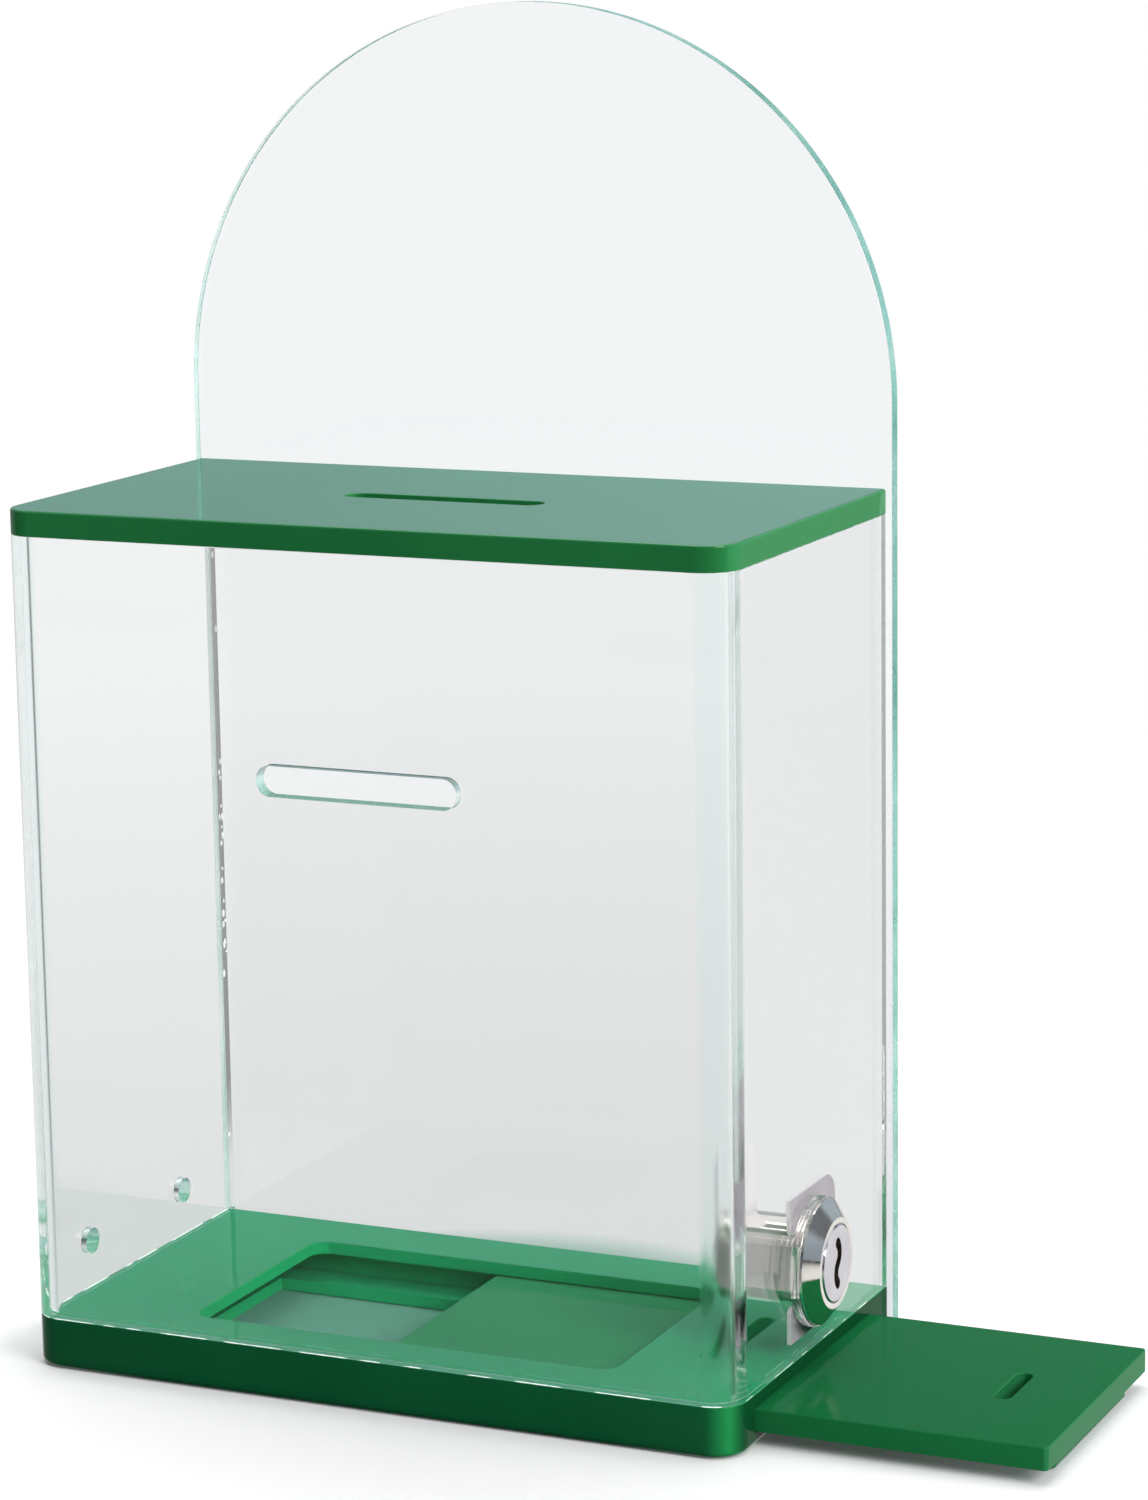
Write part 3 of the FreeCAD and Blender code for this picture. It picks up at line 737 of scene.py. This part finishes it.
dressNode("lock_housing", lockChrome)
dressNode("lock_plug", plugChrome)
for name in ("lock_clip", "lock_cam"):
    dressNode(name, paleNickel)
for name in ("stop_washer", "cam_washer", "cam_screw"):
    dressNode(name, zincSteel)
for number in waferNumbers:
    dressNode("wafer_%d" % number, waferBrass)

spacerShape = {"radius": 15.0, "thickness": 2.2, "steps": 120, "edge": (0.25, 2), "x": 90.0,
               "seat": 0.03}


def makeSpacer():
    # clear ring between the side and the head of the lock
    s = spacerShape
    spacer = prism("lock_spacer_ring", ringOutline(s["radius"], s["steps"]),
                   s["seat"], s["thickness"] - s["seat"],
                   placed(s["x"], 0, windowShape["lockZ"], "Y"))
    cutFrom(spacer, [lockHoleTool(s["x"])])
    roundEdges(spacer, *s["edge"])
    dress(spacer, clearAcrylic)
    smoothFaces(spacer)
    spacer.visible_shadow = False
    return handOver(spacer, "box", "clear_acrylic", "lock_spacer")


springShape = {"wire": 0.14, "turns": 7, "stepsPerTurn": 14}


def makeSpring(number):
    node = "wafer_spring_%d" % number
    low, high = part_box(node)
    middle = (low + high) / 2
    wire = springShape["wire"] * mm
    radius = (high.x - low.x) / 2 - wire
    count = springShape["turns"] * springShape["stepsPerTurn"] + 1
    rise = high.z - low.z - 2 * wire
    coil = []
    for i in range(count):
        turn = 2 * math.pi * i / springShape["stepsPerTurn"]
        coil.append((middle.x + radius * math.cos(turn), middle.y + radius * math.sin(turn),
                     low.z + wire + rise * i / (count - 1), 1.0))
    spring = wirePiece("spring_coil_%d" % number, [coil], wire)
    dress(spring, zincSteel)
    return handOver(spring, "plug", "zinc_steel", node)


makeSpacer()
for number in waferNumbers:
    makeSpring(number)
print("lock dressed")


# glue that shows: beads on the base, a fine line under the lid, bubbles at the left back seam

glueShape = {"seed": 7, "inset": 0.26, "backGap": 1.0, "step": 0.7, "fewest": 3,
             "taperStart": 0.35, "taperStep": 0.4, "thinnest": 0.65,
             "base": {"z": 12.02, "wire": 0.19, "runs": (4, 24), "gaps": (2, 16)},
             "lid": {"z": 197.99, "wire": 0.13, "runs": (30, 90), "gaps": (1, 4)}}


def seamPath(inset, step):
    # evenly spaced points along the foot of the bent sheet
    corners = boxOutline(inset, glueShape["backGap"])
    points = []
    for (x0, y0), (x1, y1) in zip(corners, corners[1:]):
        count = max(1, round(math.hypot(x1 - x0, y1 - y0) / step))
        for i in range(count):
            points.append((x0 + (x1 - x0) * i / count, y0 + (y1 - y0) * i / count))
    return points


def brokenBead(name, bead, dice):
    g = glueShape
    path = seamPath(g["inset"], g["step"])
    lines = []
    i = 0
    while i < len(path) - g["fewest"]:
        count = min(dice.randint(*bead["runs"]), len(path) - i)
        line = []
        for k, (x, y) in enumerate(path[i:i + count]):
            taper = min(1.0, g["taperStart"] + g["taperStep"] * min(k, count - 1 - k))
            share = taper * dice.uniform(g["thinnest"], 1.0)
            line.append((x * mm, y * mm, bead["z"] * mm, share))
        if len(line) >= g["fewest"]:
            lines.append(line)
        i += count + dice.randint(*bead["gaps"])
    piece = wirePiece(name, lines, bead["wire"] * mm)
    dress(piece, glueWhite)
    piece.visible_shadow = False
    return handOver(piece, "box", "clear_acrylic")


bubbleShape = {"count": 22, "size": (0.25, 0.75), "x": (-89.0, -86.6), "y": 47.8,
               "crowdZ": (70, 130), "wholeZ": (20, 190), "flat": 0.12, "tall": 1.5, "rounds": 2}


def makeBubbles(dice):
    s = bubbleShape
    bm = bmesh.new()
    for i in range(s["count"]):
        size = dice.uniform(*s["size"]) * mm
        x = dice.uniform(*s["x"]) * mm
        z = dice.choice((dice.uniform(*s["crowdZ"]), dice.uniform(*s["wholeZ"]))) * mm
        stretch = Matrix.Diagonal((size, s["flat"] * mm, size * s["tall"], 1))
        bmesh.ops.create_icosphere(bm, subdivisions=s["rounds"], radius=1.0,
                                   matrix=Matrix.Translation((x, s["y"] * mm, z)) @ stretch)
    mesh = bpy.data.meshes.new("seam_bubbles")
    bm.to_mesh(mesh)
    bm.free()
    mesh.shade_smooth()
    bubbles = addObject("seam_bubbles", mesh)
    dress(bubbles, glueWhite)
    bubbles.visible_shadow = False
    return handOver(bubbles, "box", "clear_acrylic")


glueDice = random.Random(glueShape["seed"])
brokenBead("base_glue_bead", glueShape["base"], glueDice)
brokenBead("lid_glue_line", glueShape["lid"], glueDice)
makeBubbles(glueDice)
print("glue made")


# camera, fitted to the straight edges of the photo

cameraPlace = {"location": (0.44921, -0.91655, 0.34500), "right": (0.9112, 0.4118, -0.0149),
               "up": (-0.0659, 0.1815, 0.9813), "forward": (-0.4067, 0.8931, -0.1925),
               "lens": 107.62, "sensor": 36.0, "clip": (0.05, 100.0)}


def makeCamera():
    c = cameraPlace
    data = bpy.data.cameras.new("photoCamera")
    data.lens = c["lens"]
    data.sensor_width = c["sensor"]
    data.clip_start, data.clip_end = c["clip"]
    camera = addObject("photoCamera", data)
    back = -Vector(c["forward"])
    turn = Matrix((c["right"], c["up"], back)).transposed().to_4x4()
    camera.matrix_world = Matrix.Translation(c["location"]) @ turn
    bpy.context.scene.camera = camera


makeCamera()


# floor and studio

floorLook = {"size": 40.0, "drop": -0.0002, "paper": (0.42, 0.42, 0.43),
             "near": (0.95, 0.945, 0.95), "shadowNear": 0.95, "shadowReach": (0.12, 0.9),
             "under": (0.12, 0.32, 0.235), "outletReach": (0.075, 0.100),
             "through": (0.98, 1.0, 1.01), "throughShadeNear": 0.84, "throughFar": 0.98,
             "throughReach": (0.10, 0.9), "throughFront": 0.25,
             "mirrorNear": 0.90, "mirrorFar": 0.30, "mirrorReach": (0.22, 0.90),
             "mirrorFront": 0.06, "frontReach": (-0.10, -0.03), "mirrorCount": 1.0,
             "mirrorSlack": 0.1}


def makeFloor():
    f = floorLook
    half = f["size"] / 2
    mesh = bpy.data.meshes.new("floor")
    corners = [(-half, -half, 0), (half, -half, 0), (half, half, 0), (-half, half, 0)]
    mesh.from_pydata(corners, [], [(0, 1, 2, 3)])
    floor = addObject("floor", mesh)
    floor.location.z = f["drop"]
    material = bpy.data.materials.new("floorPaper")
    material.use_nodes = True
    tree = material.node_tree
    tree.nodes.clear()
    make = tree.nodes.new
    link = tree.links.new
    output = make("ShaderNodeOutputMaterial")
    place = make("ShaderNodeNewGeometry").outputs["Position"]
    reach = make("ShaderNodeVectorMath")
    reach.operation = "LENGTH"
    link(place, reach.inputs[0])
    depth = splitAxes(tree, place)["Y"]
    path = make("ShaderNodeLightPath")

    def falling(near, far, between):
        return spread(tree, reach.outputs["Value"], near, far, *between)

    def matt(colour):
        node = make("ShaderNodeBsdfDiffuse")
        node.inputs["Color"].default_value = colour + (1.0,)
        return node.outputs[0]

    def glow(level, colour=white):
        node = make("ShaderNodeEmission")
        node.inputs["Color"].default_value = colour + (1.0,)
        if isinstance(level, float):
            node.inputs["Strength"].default_value = level
        else:
            link(level, node.inputs["Strength"])
        return node.outputs[0]

    def blend(share, first, second):
        node = make("ShaderNodeMixShader")
        link(share, node.inputs["Fac"])
        link(first, node.inputs[1])
        link(second, node.inputs[2])
        return node.outputs[0]

    # seen straight: white, with the soft shadow near the box
    straight = blend(falling(f["shadowNear"], 0.0, f["shadowReach"]), glow(1.0), matt(f["near"]))
    # mirrored light finds the front dark, where the room is, also after one mirror in a sheet
    frontDark = spread(tree, depth, f["mirrorFront"], 1.0, *f["frontReach"])
    once = make("ShaderNodeMath")
    once.operation = "COMPARE"
    link(path.outputs["Glossy Depth"], once.inputs[0])
    once.inputs[1].default_value = f["mirrorCount"]
    once.inputs[2].default_value = f["mirrorSlack"]
    reflected = make("ShaderNodeMix")
    link(once.outputs[0], reflected.inputs["Factor"])
    reflected.inputs["A"].default_value = 1.0
    link(spread(tree, depth, f["throughFront"], 1.0, *f["frontReach"]), reflected.inputs["B"])
    # inside the outlet the floor is matt and takes real shade, and its colour there is painted dark
    # green as painted shade and green bounced light, for light through the sheet and for mirrored
    # light
    inOutlet = falling(1.0, 0.0, f["outletReach"])
    # seen through the clear sheet: a little greyer and faintly blue, with painted shade darker near
    # the box, standing for the box's shadow on the floor behind it
    throughPaintedShade = falling(f["throughShadeNear"], f["throughFar"], f["throughReach"])
    clearLevel = times(tree, throughPaintedShade, reflected.outputs["Result"])
    through = blend(inOutlet, glow(clearLevel, f["through"]), matt(f["under"]))
    # mirrored: falls off away from the box
    mirrorFall = falling(f["mirrorNear"], f["mirrorFar"], f["mirrorReach"])
    mirrored = blend(inOutlet, glow(times(tree, mirrorFall, frontDark)), matt(f["under"]))
    shown = blend(path.outputs["Is Glossy Ray"], matt(f["paper"]), mirrored)
    shown = blend(path.outputs["Is Transmission Ray"], shown, through)
    shown = blend(path.outputs["Is Camera Ray"], shown, straight)
    link(shown, output.inputs["Surface"])
    dress(floor, material)


makeFloor()

studioLook = {"low": (0.385, 0.455, 0.53), "gap": (0.16, 0.17, 0.19), "middle": (0.86, 0.87, 0.89),
              "top": (1.08, 1.08, 1.08), "stops": (0.32, 0.37, 0.44, 0.56, 0.9),
              "frontLevel": 0.25, "frontReach": (-0.7, 0.3)}


def makeWorld():
    s = studioLook
    world = bpy.data.worlds.new("studio")
    bpy.context.scene.world = world
    world.use_nodes = True
    tree = world.node_tree
    tree.nodes.clear()
    make = tree.nodes.new
    link = tree.links.new
    output = make("ShaderNodeOutputWorld")
    background = make("ShaderNodeBackground")
    toSky = splitAxes(tree, make("ShaderNodeTexCoord").outputs["Generated"])
    # a dark gap between the backdrop and the soft light above
    bands = (s["low"], s["gap"], s["gap"], s["middle"], s["top"])
    sky = ramp(tree, toSky["Z"], list(zip(s["stops"], bands)))
    # darker towards the front, where the room is
    dim = spread(tree, toSky["Y"], s["frontLevel"], 1.0, *s["frontReach"])
    shade = make("ShaderNodeMix")
    shade.data_type = "RGBA"
    shade.blend_type = "MULTIPLY"
    shade.inputs["Factor"].default_value = 1.0
    link(sky, shade.inputs["A"])
    link(dim, shade.inputs["B"])
    # plain white behind the floor, as the camera sees it
    seen = make("ShaderNodeLightPath").outputs["Is Camera Ray"]
    link(tinted(tree, shade.outputs["Result"], white, seen), background.inputs["Color"])
    background.inputs["Strength"].default_value = 1.0
    link(background.outputs[0], output.inputs["Surface"])


makeWorld()

lampSettings = {
    "keyRight": {"place": (1.45, -0.66, 0.95), "aim": (0.0, 0.0, 0.12), "size": 0.8, "power": 20.0},
    "topSoft": {"place": (-0.1, 0.25, 1.7), "aim": (0.0, 0.0, 0.1), "size": 1.3, "power": 14.0},
}


def makeLamps():
    for name, s in lampSettings.items():
        data = bpy.data.lights.new(name, "AREA")
        data.shape = "SQUARE"
        data.size = s["size"]
        data.energy = s["power"]
        lamp = addObject(name, data)
        lamp.location = s["place"]
        aim = Vector(s["aim"]) - Vector(s["place"])
        lamp.rotation_euler = aim.to_track_quat("-Z", "Y").to_euler()


makeLamps()

# light is caught many times inside the bends of the clear sheet
bounces = {"sheet": 90, "all": 120}
bpy.context.scene.cycles.glossy_bounces = bounces["sheet"]
bpy.context.scene.cycles.transmission_bounces = bounces["sheet"]
bpy.context.scene.cycles.max_bounces = bounces["all"]
bpy.context.scene.view_settings.view_transform = "Standard"
print("studio made")
